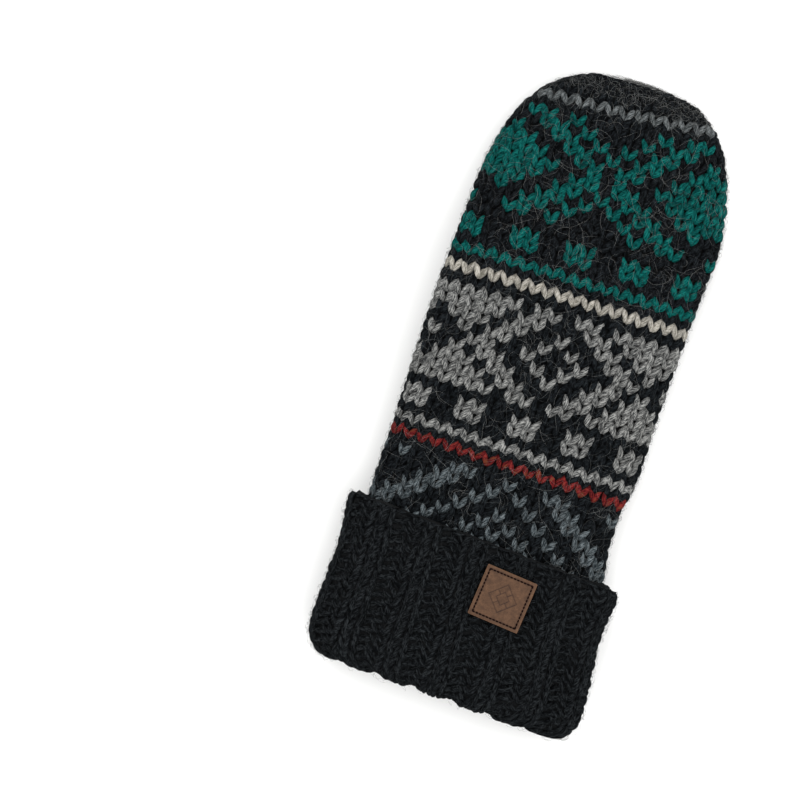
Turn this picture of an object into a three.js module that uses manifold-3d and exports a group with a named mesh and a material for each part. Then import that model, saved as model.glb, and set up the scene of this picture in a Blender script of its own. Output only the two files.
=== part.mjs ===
// A knitted mitten for the right hand, lying on its palm with the thumb folded flat beneath it.
// Millimetres, +Z up out of the back of the hand, +Y to the fingertips, -X to the thumb's side.
// The working frame has y = 0 at the cuff's fold and z = 0 at the surface that it lies on.
import * as THREE from "three";
import * as BufferGeometryUtils from "three/addons/utils/BufferGeometryUtils.js";
import Module from "manifold-3d";

const wasm = await Module();
wasm.setup();

// Hand
const mittenLength = 245;
const handWidth = 97;
const handThickness = 22;
const handWall = 3.6;
const tipLength = 59;
const tipFlat = 12;
const tipOffset = 3.9;
const tipBluntness = 3;
const tipFullness = 6;

// Thumb
const crotchHeight = 125;
const thumbLength = 65;
const thumbWidth = 42;
const thumbThickness = 13;
const thumbWall = 3.4;
const thumbLine = -25;
const thumbTipLength = 23;
const thumbTipFlat = 5;
const thumbTipBluntness = 2.2;
const thumbTipFullness = 5;

// Cuff
const cuffHeight = 62.5;
const cuffWidth = 111;
const cuffThickness = 29;
const cuffWall = 4.4;
const cuffLine = -3.2;
const cuffWaist = 1.8;
const waistRaise = 1.6;
const foldTuck = 5;
const foldTuckRun = 12;
const edgeTuck = 2;
const edgeTuckRun = 5;
const underlap = 10;
const sideSlack = 2.7;
const faceSlack = 0.6;
const ribPitch = 19.4;
const ribStart = 7.6;
const ribDepth = 1.8;
const scallop = 1;

// Patch
const patchSide = 20;
const patchThickness = 1.4;
const patchCorner = 0.3;
const patchRight = 9;
const patchUp = 44.2;
const patchTurn = -2.1;

// How the pieces meet and lie
const gap = 0.3;
const leanSlope = 0.07;
const leanTop = 150;
const foldLean = 0.75;
const backWrap = 11;
const drapeRun = 22;
const drapeOver = 6;
const crotchRun = 1.5;

// How full the sections are: 1 is an ellipse, and less is flatter with tighter sides
const fullness = 0.52;

// Detail
const handColumns = 22;
const thumbColumns = 22;
const pointsPerRib = 6;

// The hand's sections from the cuff's free edge to the fingertips.
// along: share of that length. left, right: shares of the hand's width, from its line.
// side: height of the side edges, as a share of the hand's thickness.
// lift: how far the folded thumb raises its side, as a share of the thumb's thickness.
// rise: the back above the side edges, as a share of the hand's thickness.
// sink: the palm below the side edges, as a share of their height; over 1 it is pressed flat.
const handTable = [
  { along: 0.07, left: 0.518, right: 0.443, side: 0.57, lift: 0.05, rise: 0.43, sink: 0.85 },
  { along: 0.14, left: 0.515, right: 0.447, side: 0.52, lift: 0.18, rise: 0.47, sink: 1.06 },
  { along: 0.19, left: 0.512, right: 0.466, side: 0.48, lift: 0.32, rise: 0.49, sink: 1.12 },
  { along: 0.26, left: 0.512, right: 0.477, side: 0.45, lift: 0.5, rise: 0.5, sink: 1.12 },
  { along: 0.34, left: 0.509, right: 0.479, side: 0.42, lift: 0.7, rise: 0.5, sink: 1.12 },
  { along: 0.42, left: 0.508, right: 0.486, side: 0.41, lift: 0.82, rise: 0.5, sink: 1.12 },
  { along: 0.55, left: 0.497, right: 0.497, side: 0.41, lift: 0.82, rise: 0.5, sink: 1.12 },
  { along: 0.63, left: 0.486, right: 0.508, side: 0.41, lift: 0.62, rise: 0.5, sink: 1.12 },
  { along: 0.7, left: 0.48, right: 0.52, side: 0.41, lift: 0.28, rise: 0.51, sink: 1.12 },
  { along: 0.77, left: 0.48, right: 0.52, side: 0.4, lift: 0.04, rise: 0.52, sink: 1.12 },
  { along: 0.87, left: 0.48, right: 0.52, side: 0.39, lift: 0, rise: 0.52, sink: 1.12 },
  { along: 1, left: 0.48, right: 0.52, side: 0.36, lift: 0, rise: 0.5, sink: 1.12 },
];

// The thumb's sections from the crotch to its tip.
// along: share of the thumb's length. left, right: shares of its width, from its line.
const thumbTable = [
  { along: 0, left: 0.535, right: 0.72 },
  { along: 0.32, left: 0.53, right: 0.62 },
  { along: 0.65, left: 0.51, right: 0.5 },
  { along: 1, left: 0.5, right: 0.49 },
];

// Materials
const patternedWool = new THREE.MeshStandardMaterial({ color: 0x4d5c5a, roughness: 0.95 });
const blackWool = new THREE.MeshStandardMaterial({ color: 0x24282c, roughness: 0.95 });
const ribbedWool = new THREE.MeshStandardMaterial({ color: 0x1f2327, roughness: 0.95 });
const leather = new THREE.MeshStandardMaterial({ color: 0x734e3a, roughness: 0.6 });

// Values worked out from the sizes
const handStart = cuffHeight - underlap;
const tipStart = mittenLength - tipLength;
const ribHalf = ribDepth / 2;
const wristHalf = cuffWidth / 2 - ribHalf - cuffWall - sideSlack;
const wristRise = cuffThickness / 2 - ribHalf - cuffWall - faceSlack;
const layersDeep = 2 * cuffWall + faceSlack;
const foldRadius = layersDeep / 2;
const ribCount = Math.round((2 * (cuffWidth + cuffThickness) - 2 * layersDeep) / ribPitch);

const clamp01 = (t) => Math.min(1, Math.max(0, t));
const mix = (a, b, t) => a + (b - a) * t;

function ease(t) {
  const share = clamp01(t);
  return share * share * (3 - 2 * share);
}

// Smooth value of one column of a table at a place, without overshoot between its rows
function columnAt(rows, key, column, place) {
  let i = 0;
  while (i < rows.length - 2 && place > rows[i + 1][key]) {
    i += 1;
  }
  const slope = (k) => (rows[k + 1][column] - rows[k][column]) / (rows[k + 1][key] - rows[k][key]);
  const bend = (k) => {
    if (k === 0) return slope(0);
    if (k === rows.length - 1) return slope(k - 1);
    return slope(k - 1) * slope(k) <= 0 ? 0 : (slope(k - 1) + slope(k)) / 2;
  };
  const step = rows[i + 1][key] - rows[i][key];
  const t = clamp01((place - rows[i][key]) / step);
  const start = rows[i][column];
  const end = rows[i + 1][column];
  const inner = t * (1 - t) * ((1 - t) * bend(i) - t * bend(i + 1)) * step;
  return mix(start, end, t * t * (3 - 2 * t)) + inner;
}

// The hand's sections in millimetres, the two inside the cuff worked out from the cuff
function handSections() {
  const inCuff = (y) => ({
    y,
    left: wristHalf - cuffLine,
    right: wristHalf + cuffLine,
    leftSide: cuffThickness / 2,
    rightSide: cuffThickness / 2,
    rise: wristRise,
    sink: (2 * wristRise) / cuffThickness,
  });
  const above = handTable.map((row) => ({
    y: mix(cuffHeight, mittenLength, row.along),
    left: row.left * handWidth,
    right: row.right * handWidth,
    leftSide: row.side * handThickness + row.lift * thumbThickness,
    rightSide: row.side * handThickness,
    rise: row.rise * handThickness,
    sink: row.sink,
  }));
  return [inCuff(handStart), inCuff(cuffHeight + 2 * faceSlack), ...above];
}

const sections = handSections();

// How much of the width and of the height is left in the fingertips' round end, from 1 to 0
const intoTip = (y) => clamp01((y - tipStart) / tipLength);
const tipTaper = (y) => Math.pow(1 - Math.pow(intoTip(y), 2), 1 / tipBluntness);
const tipThinning = (y) => Math.sqrt(1 - Math.pow(intoTip(y), tipFullness));

// The hand's section at a height, drawn in by a wall's thickness for its inside
function handAt(y, inset) {
  const at = (column) => columnAt(sections, "y", column, y);
  const taper = tipTaper(y);
  const flat = Math.max(gap, tipFlat / 2 - inset);
  const left = Math.max(flat, mix(-tipOffset, at("left"), taper) - inset);
  const right = Math.max(flat, mix(tipOffset, at("right"), taper) - inset);
  const thin = tipThinning(y);
  return {
    middle: taper < 1 ? mix(tipOffset, (right - left) / 2, taper) : (right - left) / 2,
    half: (left + right) / 2,
    leftSide: at("leftSide"),
    rightSide: at("rightSide"),
    rise: Math.max(gap / 2, at("rise") * thin - inset),
    sink: at("sink") * thin,
  };
}

// How far the palm lies raised over the folded thumb at a place
function drapeHeight(x, y, inset) {
  const along = (y - crotchHeight) / thumbLength;
  const edge = thumbLine + columnAt(thumbTable, "along", "right", clamp01(along)) * thumbWidth;
  const tip = crotchHeight + thumbLength;
  const besideThumb = 1 - ease((x - inset - edge + drapeOver) / drapeRun);
  const beyondTip = 1 - ease((y - inset - tip + drapeOver) / drapeRun);
  const pastCrotch = clamp01((y - crotchHeight + crotchRun) / crotchRun);
  return (thumbThickness + gap) * besideThumb * beyondTip * pastCrotch;
}

// Closed outline of the hand: over the back from the little finger's side, then under the palm
function handOutline(y, inset) {
  const s = handAt(y, inset);
  const steps = 48;
  const points = [];
  for (let i = 0; i < 2 * steps; i += 1) {
    const angle = (Math.PI * i) / steps;
    const x = s.middle + s.half * Math.cos(angle);
    const side = mix(s.rightSide, s.leftSide, (1 - Math.cos(angle)) / 2);
    const bulge = Math.pow(Math.abs(Math.sin(angle)), fullness);
    if (i <= steps) {
      points.push([x, side + s.rise * bulge]);
      continue;
    }
    const depth = Math.max(gap / 2, side * s.sink - inset);
    const plain = Math.max(side - depth * bulge, inset);
    points.push([x, Math.max(plain, Math.min(drapeHeight(x, y, inset) + inset, side - gap / 2))]);
  }
  return { points, turn: steps };
}

// Points at even distances along a closed outline, between two places measured along it
function evenly(points, from, to, count, closed) {
  const lengths = [0];
  for (let i = 0; i < points.length; i += 1) {
    const next = points[(i + 1) % points.length];
    lengths.push(lengths[i] + Math.hypot(next[0] - points[i][0], next[1] - points[i][1]));
  }
  const whole = lengths[points.length];
  const result = [];
  for (let k = 0; k < count + (closed ? 0 : 1); k += 1) {
    const place = mix(from, to, k / count);
    const wrapped = ((place % whole) + whole) % whole;
    let i = 0;
    while (i < points.length - 1 && lengths[i + 1] < wrapped) {
      i += 1;
    }
    const t = (wrapped - lengths[i]) / (lengths[i + 1] - lengths[i]);
    const next = points[(i + 1) % points.length];
    result.push([mix(points[i][0], next[0], t), mix(points[i][1], next[1], t)]);
  }
  return result;
}

function outlineLength(points, upTo) {
  let sum = 0;
  for (let i = 0; i < upTo; i += 1) {
    const next = points[(i + 1) % points.length];
    sum += Math.hypot(next[0] - points[i][0], next[1] - points[i][1]);
  }
  return sum;
}

// The rows of the hand and how far each inside row lies back towards the cuff
function handRows() {
  const rows = [handStart, cuffHeight];
  const body = 8;
  for (let i = 1; i <= body; i += 1) {
    rows.push(mix(cuffHeight, crotchHeight - 2 * crotchRun, i / body));
  }
  rows.push(crotchHeight - crotchRun, crotchHeight);
  const palm = 7;
  for (let i = 1; i <= palm; i += 1) {
    rows.push(mix(crotchHeight, tipStart, i / palm));
  }
  const tip = 9;
  for (let i = 1; i <= tip; i += 1) {
    rows.push(tipStart + tipLength * Math.sin((Math.PI / 2) * (i / tip)));
  }
  return rows;
}

const setBack = (y, inset) => inset * clamp01((y - cuffHeight) / (crotchHeight - cuffHeight));

// The back wraps under the little finger's side towards the wrist
const wrapAt = (y) => backWrap * (1 - ease((y - cuffHeight) / (tipStart - cuffHeight)));

// The cuff and wrist lean aside: their edges drop towards the little finger, the fold a little less
function lean(x, y) {
  const share = clamp01((leanTop - y) / (leanTop - cuffHeight));
  const inCuff = mix(foldLean, 1, clamp01(y / cuffHeight));
  return y - (x - cuffLine) * leanSlope * share * share * inCuff;
}

const laid = (x, y, z) => [x, lean(x, y), z];

// One row of the back or the palm, outside or inside
function panelRow(part, y, inset) {
  const outline = handOutline(y, inset);
  const overBack = outlineLength(outline.points, outline.turn);
  const whole = outlineLength(outline.points, outline.points.length);
  const wrap = wrapAt(y);
  const from = part === "back" ? gap / 2 - wrap : overBack + gap / 2;
  const to = part === "back" ? overBack - gap / 2 : whole - wrap - gap / 2;
  const row = evenly(outline.points, from, to, handColumns, false);
  return row.map(([x, z]) => laid(x, y - setBack(y, inset), z));
}

// A geometry from points and quads, with every face turned outwards
function solidFrom(points, quads) {
  const corners = [];
  for (const [a, b, c, d] of quads) {
    for (const triangle of [[a, b, c], [a, c, d]]) {
      if (new Set(triangle).size === 3) {
        corners.push(...triangle);
      }
    }
  }
  const at = (i) => new THREE.Vector3(...points[i]);
  let volume = 0;
  for (let i = 0; i < corners.length; i += 3) {
    volume += at(corners[i]).dot(at(corners[i + 1]).cross(at(corners[i + 2])));
  }
  if (volume < 0) {
    corners.reverse();
  }
  const geometry = new THREE.BufferGeometry();
  geometry.setAttribute("position", new THREE.Float32BufferAttribute(points.flat(), 3));
  geometry.setIndex(corners);
  geometry.computeVertexNormals();
  return geometry;
}

// A wall between an outside and an inside sheet of points, closed along its four edges
function wallBetween(outside, inside) {
  const rows = outside.length;
  const columns = outside[0].length;
  const points = [...outside.flat(), ...inside.flat()];
  const out = (r, c) => r * columns + c;
  const back = (r, c) => rows * columns + r * columns + c;
  const quads = [];
  for (let r = 0; r < rows - 1; r += 1) {
    for (let c = 0; c < columns - 1; c += 1) {
      quads.push([out(r, c), out(r, c + 1), out(r + 1, c + 1), out(r + 1, c)]);
      quads.push([back(r, c), back(r + 1, c), back(r + 1, c + 1), back(r, c + 1)]);
    }
    quads.push([out(r, 0), out(r + 1, 0), back(r + 1, 0), back(r, 0)]);
    const last = columns - 1;
    quads.push([out(r, last), back(r, last), back(r + 1, last), out(r + 1, last)]);
  }
  for (let c = 0; c < columns - 1; c += 1) {
    quads.push([out(0, c), back(0, c), back(0, c + 1), out(0, c + 1)]);
    const end = rows - 1;
    quads.push([out(end, c), out(end, c + 1), back(end, c + 1), back(end, c)]);
  }
  return solidFrom(points, quads);
}

// A body through closed rings: a cycle returns to its first ring, otherwise both ends are capped
function ringBody(rings, cycle) {
  const count = rings[0].length;
  const points = rings.flat();
  const quads = [];
  const steps = cycle ? rings.length : rings.length - 1;
  for (let r = 0; r < steps; r += 1) {
    const near = r * count;
    const far = ((r + 1) % rings.length) * count;
    for (let c = 0; c < count; c += 1) {
      const next = (c + 1) % count;
      quads.push([near + c, near + next, far + next, far + c]);
    }
  }
  if (!cycle) {
    for (const [ring, turned] of [[0, true], [rings.length - 1, false]]) {
      const centre = new THREE.Vector3();
      rings[ring].forEach((p) => centre.add(new THREE.Vector3(...p)));
      points.push(centre.divideScalar(count).toArray());
      const middle = points.length - 1;
      for (let c = 0; c < count; c += 1) {
        const a = ring * count + c;
        const b = ring * count + ((c + 1) % count);
        quads.push(turned ? [middle, b, a, a] : [middle, a, b, b]);
      }
    }
  }
  return solidFrom(points, quads);
}

function toManifold(geometry) {
  const bare = geometry.clone();
  bare.deleteAttribute("normal");
  bare.deleteAttribute("uv");
  const merged = BufferGeometryUtils.mergeVertices(bare);
  const vertProperties = new Float32Array(merged.attributes.position.array);
  const triVerts = new Uint32Array(merged.index.array);
  return new wasm.Manifold(new wasm.Mesh({ numProp: 3, vertProperties, triVerts }));
}

function fromManifold(solid) {
  const mesh = solid.getMesh();
  const geometry = new THREE.BufferGeometry();
  geometry.setAttribute("position", new THREE.BufferAttribute(mesh.vertProperties, 3));
  geometry.setIndex(new THREE.BufferAttribute(mesh.triVerts, 1));
  geometry.computeVertexNormals();
  return geometry;
}

function namedMesh(name, geometry, material) {
  const mesh = new THREE.Mesh(geometry, material);
  mesh.name = name;
  return mesh;
}

// Patterned back of the hand
function handBack() {
  const rows = handRows();
  const outside = rows.map((y) => panelRow("back", y, 0));
  const inside = rows.map((y) => panelRow("back", y, handWall));
  return namedMesh("hand_back", wallBetween(outside, inside), patternedWool);
}

// Closed ring of the thumb, outside or inside
function thumbRing(along, inset) {
  const at = (column) => columnAt(thumbTable, "along", column, along) * thumbWidth;
  const t = clamp01((along * thumbLength - thumbLength + thumbTipLength) / thumbTipLength);
  const taper = Math.pow(1 - t * t, 1 / thumbTipBluntness);
  const flat = Math.max(gap, thumbTipFlat / 2 - inset);
  const left = Math.max(flat, at("left") * taper - inset);
  const right = Math.max(flat, at("right") * taper - inset);
  const middle = thumbLine + (right - left) / 2;
  const half = (left + right) / 2;
  const thin = Math.sqrt(1 - Math.pow(t, thumbTipFullness));
  const tall = Math.max(gap / 2, (thumbThickness / 2) * thin - inset);
  const steps = 36;
  const points = [];
  for (let i = 0; i < 2 * steps; i += 1) {
    const angle = (Math.PI * i) / steps;
    const bulge = Math.sign(Math.sin(angle)) * Math.pow(Math.abs(Math.sin(angle)), fullness);
    points.push([middle + half * Math.cos(angle), thumbThickness / 2 + tall * bulge]);
  }
  const whole = outlineLength(points, points.length);
  const y = crotchHeight + gap + along * (thumbLength - inset);
  return evenly(points, 0, whole, thumbColumns, true).map(([x, z]) => laid(x, y, z));
}

function thumbPlaces() {
  const body = 5;
  const tip = 7;
  const tipFrom = 1 - thumbTipLength / thumbLength;
  const places = [];
  for (let i = 0; i <= body; i += 1) {
    places.push((tipFrom * i) / body);
  }
  for (let i = 1; i <= tip; i += 1) {
    places.push(tipFrom + (1 - tipFrom) * Math.sin((Math.PI / 2) * (i / tip)));
  }
  return places;
}

// Thumb: a flattened tube, closed at its tip and open into the hand
function thumb() {
  const places = thumbPlaces();
  const inside = places.map((along) => thumbRing(along, thumbWall)).reverse();
  const outside = places.map((along) => thumbRing(along, 0));
  return namedMesh("thumb", ringBody([...inside, ...outside], false), blackWool);
}

// Palm, with the opening that leads into the thumb
function handPalm() {
  const rows = handRows();
  const outside = rows.map((y) => panelRow("palm", y, 0));
  const inside = rows.map((y) => panelRow("palm", y, handWall));
  const opening = thumbRing(0, thumbWall);
  const shifted = (dy) => opening.map(([x, y, z]) => [x, y + dy, z]);
  const reach = handWall + crotchRun;
  const cutter = ringBody([shifted(-reach - 1), shifted(1)], false);
  const palm = toManifold(wallBetween(outside, inside)).subtract(toManifold(cutter));
  return namedMesh("hand_palm", fromManifold(palm), blackWool);
}

// How much of the ribs' relief is left at a depth below the cuff's outer face
const ribFade = (depth) => 1 - depth / layersDeep;

// Outline of the cuff at a depth below its outer face, evenly spaced, with its ribs
function cuffRing(depth, y, ribShare, atEdge) {
  const slack = clamp01((depth - cuffWall) / faceSlack) * (sideSlack - faceSlack);
  const waist = cuffWaist * Math.sin(Math.PI * clamp01(y / cuffHeight) ** waistRaise) ** 2;
  const atFold = foldTuck * (1 - clamp01(y / foldTuckRun)) ** 2;
  const atTop = edgeTuck * (1 - clamp01((cuffHeight - y) / edgeTuckRun)) ** 2;
  const half = cuffWidth / 2 - ribHalf - waist - atFold - atTop - depth - slack;
  const tall = cuffThickness / 2 - ribHalf - depth;
  const steps = 120;
  const points = [];
  for (let i = 0; i < 2 * steps; i += 1) {
    const angle = (Math.PI * i) / steps;
    const bulge = Math.sign(Math.sin(angle)) * Math.pow(Math.abs(Math.sin(angle)), fullness);
    points.push([cuffLine + half * Math.cos(angle), cuffThickness / 2 + tall * bulge]);
  }
  const whole = outlineLength(points, points.length);
  const count = ribCount * pointsPerRib;
  const from = ribStart + whole / count / 2;
  const even = evenly(points, from, whole + from, count, true);
  return even.map(([x, z], i) => {
    const before = even[(i + count - 1) % count];
    const after = even[(i + 1) % count];
    const run = Math.hypot(after[0] - before[0], after[1] - before[1]);
    const wave = Math.cos((2 * Math.PI * (i + 0.5)) / pointsPerRib);
    const stand = ribHalf * wave * ribShare;
    const outX = ((after[1] - before[1]) / run) * stand;
    const outZ = (-(after[0] - before[0]) / run) * stand;
    const rise = atEdge ? (scallop / 2) * wave : 0;
    return laid(x + outX, y + rise, Math.max(0, z + outZ));
  });
}

// Ribbed cuff: the inner layer runs down to the fold and turns back up as the outer layer
function cuff() {
  const rings = [];
  const lip = cuffWall / 2;
  for (const turn of [135, 90, 45, 0]) {
    const angle = THREE.MathUtils.degToRad(turn);
    const depth = lip - lip * Math.cos(angle);
    rings.push(cuffRing(depth, cuffHeight - lip + lip * Math.sin(angle), ribFade(depth), true));
  }
  for (const share of [0.75, 0.5, 0.25]) {
    rings.push(cuffRing(0, mix(foldRadius, cuffHeight - lip, share), ribFade(0), false));
  }
  for (const turn of [0, 30, 60, 90, 120, 150, 180]) {
    const angle = THREE.MathUtils.degToRad(turn);
    const depth = foldRadius - foldRadius * Math.cos(angle);
    rings.push(cuffRing(depth, foldRadius - foldRadius * Math.sin(angle), ribFade(depth), false));
  }
  const innerEnd = handStart - gap;
  const pocket = cuffWall + faceSlack;
  rings.push(cuffRing(layersDeep, mix(foldRadius, innerEnd, 0.5), 0, false));
  rings.push(cuffRing(layersDeep, innerEnd, 0, false));
  rings.push(cuffRing(pocket, innerEnd, 0, false));
  rings.push(cuffRing(pocket, foldRadius, 0, false));
  rings.push(cuffRing(cuffWall, foldRadius, 0, false));
  rings.push(cuffRing(cuffWall, cuffHeight - lip, 0, false));
  return namedMesh("cuff", ringBody(rings, true), ribbedWool);
}

// Leather patch, sewn flat on the crests of the ribs
function patch(cuffMesh) {
  const half = patchSide / 2 - patchCorner;
  const outline = new THREE.Shape();
  outline.absarc(half, half, patchCorner, 0, Math.PI / 2);
  outline.absarc(-half, half, patchCorner, Math.PI / 2, Math.PI);
  outline.absarc(-half, -half, patchCorner, Math.PI, 1.5 * Math.PI);
  outline.absarc(half, -half, patchCorner, 1.5 * Math.PI, 2 * Math.PI);
  const bevel = patchThickness / 5;
  const geometry = new THREE.ExtrudeGeometry(outline, {
    depth: patchThickness - 2 * bevel,
    bevelThickness: bevel,
    bevelSize: bevel,
    bevelOffset: -bevel,
    bevelSegments: 2,
    curveSegments: 4,
  });
  geometry.translate(0, 0, bevel);
  const mesh = namedMesh("patch", geometry, leather);
  const [x, y] = laid(patchRight, patchUp, 0);
  const seat = highestUnder(cuffMesh, x, y, patchSide / 2);
  mesh.position.set(x, y, seat + gap);
  mesh.rotation.z = THREE.MathUtils.degToRad(patchTurn) - Math.atan(leanSlope);
  return mesh;
}

// The highest point of a mesh within reach of a place, to both sides and along the ribs
function highestUnder(mesh, x, y, reach) {
  const places = mesh.geometry.attributes.position;
  let highest = 0;
  for (let i = 0; i < places.count; i += 1) {
    if (Math.abs(places.getX(i) - x) < reach && Math.abs(places.getY(i) - y) < 2 * reach) {
      highest = Math.max(highest, places.getZ(i));
    }
  }
  return highest;
}

// The assembly, with its origin under the middle of its outline
const group = new THREE.Group();
const cuffMesh = cuff();
group.add(handBack(), handPalm(), thumb(), cuffMesh, patch(cuffMesh));
const bounds = new THREE.Box3().setFromObject(group, true);
const middle = bounds.getCenter(new THREE.Vector3());
group.position.set(-middle.x, -middle.y, -bounds.min.z);

export default group;
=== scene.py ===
"""A knitted mitten for the right hand, lying on its palm with the thumb folded flat beneath it.

The back is stranded knitting in six colours, palm and thumb are plain, and the ribbed cuff is turned up and
carries a leather patch. Lengths are in millimetres in the working frame, with y = 0 at the cuff's fold and
z = 0 at the surface that it lies on, until `to_model` turns them into metres in the frame's own axes.
"""
import math

import bpy
import numpy as np
from mathutils.kdtree import KDTree
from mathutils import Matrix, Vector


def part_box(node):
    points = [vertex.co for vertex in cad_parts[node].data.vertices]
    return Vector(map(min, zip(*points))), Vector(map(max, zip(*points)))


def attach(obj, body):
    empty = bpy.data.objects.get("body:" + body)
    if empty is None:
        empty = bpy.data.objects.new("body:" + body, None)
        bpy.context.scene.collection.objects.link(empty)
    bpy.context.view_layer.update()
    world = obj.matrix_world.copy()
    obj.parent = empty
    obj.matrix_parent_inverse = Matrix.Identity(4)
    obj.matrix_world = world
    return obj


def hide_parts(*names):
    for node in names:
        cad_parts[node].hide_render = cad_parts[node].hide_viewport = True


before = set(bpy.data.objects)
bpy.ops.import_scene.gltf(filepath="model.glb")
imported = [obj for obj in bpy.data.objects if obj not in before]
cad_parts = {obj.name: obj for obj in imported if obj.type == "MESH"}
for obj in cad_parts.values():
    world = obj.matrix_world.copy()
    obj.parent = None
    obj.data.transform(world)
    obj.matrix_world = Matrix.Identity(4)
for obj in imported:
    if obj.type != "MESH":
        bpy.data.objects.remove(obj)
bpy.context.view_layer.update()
MM = 0.001
random = np.random.default_rng(17)

# Camera: straight above, and the mitten's long axis leans to the right in the picture
VIEW_CENTRE = (-45.8, -18.1)
VIEW_HEIGHT = 1250.0
VIEW_WIDTH = 304.0
VIEW_LEVEL = 10.0
VIEW_TURN = 17.0

# Hand
HAND_START = 52.5
CUFF_TOP = 62.5
HAND_END = 245.0
HAND_WIDTH = 97.0
HAND_THICKNESS = 22.0
TIP_LENGTH = 59.0
TIP_FLAT = 12.0
TIP_OFFSET = 3.9
TIP_BLUNTNESS = 3.0
TIP_FULLNESS = 6.0
FULLNESS = 0.52

# Thumb
CROTCH = 125.0
THUMB_LENGTH = 65.0
THUMB_WIDTH = 42.0
THUMB_THICKNESS = 13.0
THUMB_LINE = -25.0
THUMB_TIP_LENGTH = 23.0
THUMB_TIP_FLAT = 5.0
THUMB_TIP_BLUNTNESS = 2.2
THUMB_TIP_FULLNESS = 5.0

# Cuff
CUFF_WIDTH = 111.0
CUFF_THICKNESS = 29.0
CUFF_WALL = 4.4
CUFF_LINE = -3.2
CUFF_WAIST = 1.8
WAIST_RAISE = 1.6
FOLD_TUCK = 5.0
FOLD_TUCK_RUN = 12.0
EDGE_TUCK = 2.0
EDGE_TUCK_RUN = 5.0
CUFF_SLACK = 0.6
SIDE_SLACK = 2.7
RIBS = 13
RIB_START = 7.6
SOLID_RIB_HALF = 0.9
RIB_DEPTH = 1.5
LAYERS_DEEP = 2 * CUFF_WALL + CUFF_SLACK
FOLD_RADIUS = LAYERS_DEEP / 2

# How the pieces meet and lie
GAP = 0.3
LEAN_SLOPE = 0.07
LEAN_TOP = 150.0
FOLD_LEAN = 0.75
BACK_WRAP = 11.0
DRAPE_RUN = 22.0
DRAPE_OVER = 6.0
CROTCH_RUN = 1.5

# Patch
PATCH_PLACE = (9.0, 44.2)
PATCH_SIDE = 20.0
PATCH_THICKNESS = 1.4
PATCH_CORNER = 0.3
PATCH_TURN = -2.1
PATCH_CELLS = 80
LOZENGE_INNER, LOZENGE_OUTER = 2.6, 5.6
LOZENGE_LINE = 0.22
SEAM_INSET = 1.4
SEAM_GROOVE = 0.28
SEAM_STITCHES = 13
PAST_CORNER = 0.3

# Knitting
COLUMN = 5.25
ROW = 4.0
YARN = 1.26
LEG_DEPTH = 0.92
ARCH_ROUNDNESS = 0.7
STITCH_SINK = 1.25
CENTRE_COLUMN = 9
RIB_COLUMNS = 4 * RIBS
PURL_STEP = 0.25
CUFF_ROW = 3.5
CUFF_YARN = 1.16

# The fabric behind the stitches lies this deep under faces that carry stitches, and under bare ones
GROUND_UNDER_STITCHES = 2.3
GROUND_UNDER_RIBS = 1.9
GROUND_BARE = 0.2
GROUND_NEAR = 2.2

# How far past a side edge the back's stitches reach, and how far apart those along the tip's edge lie
PAST_EDGE = 2.7
PAST_PALM_EDGE = 0.5
TIP_SEAM_START = 217.0
TIP_SEAM_SHORT = 4.5
TIP_SEAM_STEP = 2.7

# How far stitches stray across, along and in height, and in size and turn
STRAY_ACROSS = 0.16
STRAY_ALONG = 0.22
STRAY_HEIGHT = 0.12
STRAY_SIZE = 0.07
STRAY_TURN = 0.07

# Towards the tip the rows rise to the right
TIP_TILT = 0.06
TIP_BOW = 0.0012
TIP_TILT_START = 195.0
TIP_TILT_FULL = 224.0


def table(names, *rows):
    """A table's rows, each as a dictionary with the names given."""
    return [dict(zip(names.split(), row)) for row in rows]


# The hand's sections, as in the solid: shares of the way from the cuff's free edge to the fingertips, of the
# hand's width from its line to either side, of its thickness, and of the thumb's thickness for the lift
HAND_TABLE = table(
    "along left right side lift rise sink",
    (0.07, 0.518, 0.443, 0.57, 0.05, 0.43, 0.85),
    (0.14, 0.515, 0.447, 0.52, 0.18, 0.47, 1.06),
    (0.19, 0.512, 0.466, 0.48, 0.32, 0.49, 1.12),
    (0.26, 0.512, 0.477, 0.45, 0.5, 0.5, 1.12),
    (0.34, 0.509, 0.479, 0.42, 0.7, 0.5, 1.12),
    (0.42, 0.508, 0.486, 0.41, 0.82, 0.5, 1.12),
    (0.55, 0.497, 0.497, 0.41, 0.82, 0.5, 1.12),
    (0.63, 0.486, 0.508, 0.41, 0.62, 0.5, 1.12),
    (0.7, 0.48, 0.52, 0.41, 0.28, 0.51, 1.12),
    (0.77, 0.48, 0.52, 0.4, 0.04, 0.52, 1.12),
    (0.87, 0.48, 0.52, 0.39, 0.0, 0.52, 1.12),
    (1.0, 0.48, 0.52, 0.36, 0.0, 0.5, 1.12),
)

# The thumb's sections from the crotch to its tip, in shares of its length and width
THUMB_TABLE = table(
    "along left right",
    (0.0, 0.535, 0.72),
    (0.32, 0.53, 0.62),
    (0.65, 0.51, 0.5),
    (1.0, 0.5, 0.49),
)

# Where the pattern's centre column runs: its place across the hand at a few heights
CENTRE_LINE = table(
    "y x",
    (50.0, -2.2),
    (84.0, -0.7),
    (158.0, 2.5),
    (174.0, 1.8),
    (200.0, 1.2),
    (245.0, 0.5),
)

# How far apart the columns lie on either side of that, next to their usual distance
SPREAD = table(
    "y left right",
    (60.0, 1.0, 1.0),
    (108.0, 1.02, 1.02),
    (150.0, 1.0, 1.0),
    (174.0, 1.035, 1.035),
    (187.0, 1.07, 1.025),
    (205.0, 1.04, 1.0),
    (226.0, 1.09, 1.09),
    (245.0, 1.09, 1.09),
)

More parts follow.
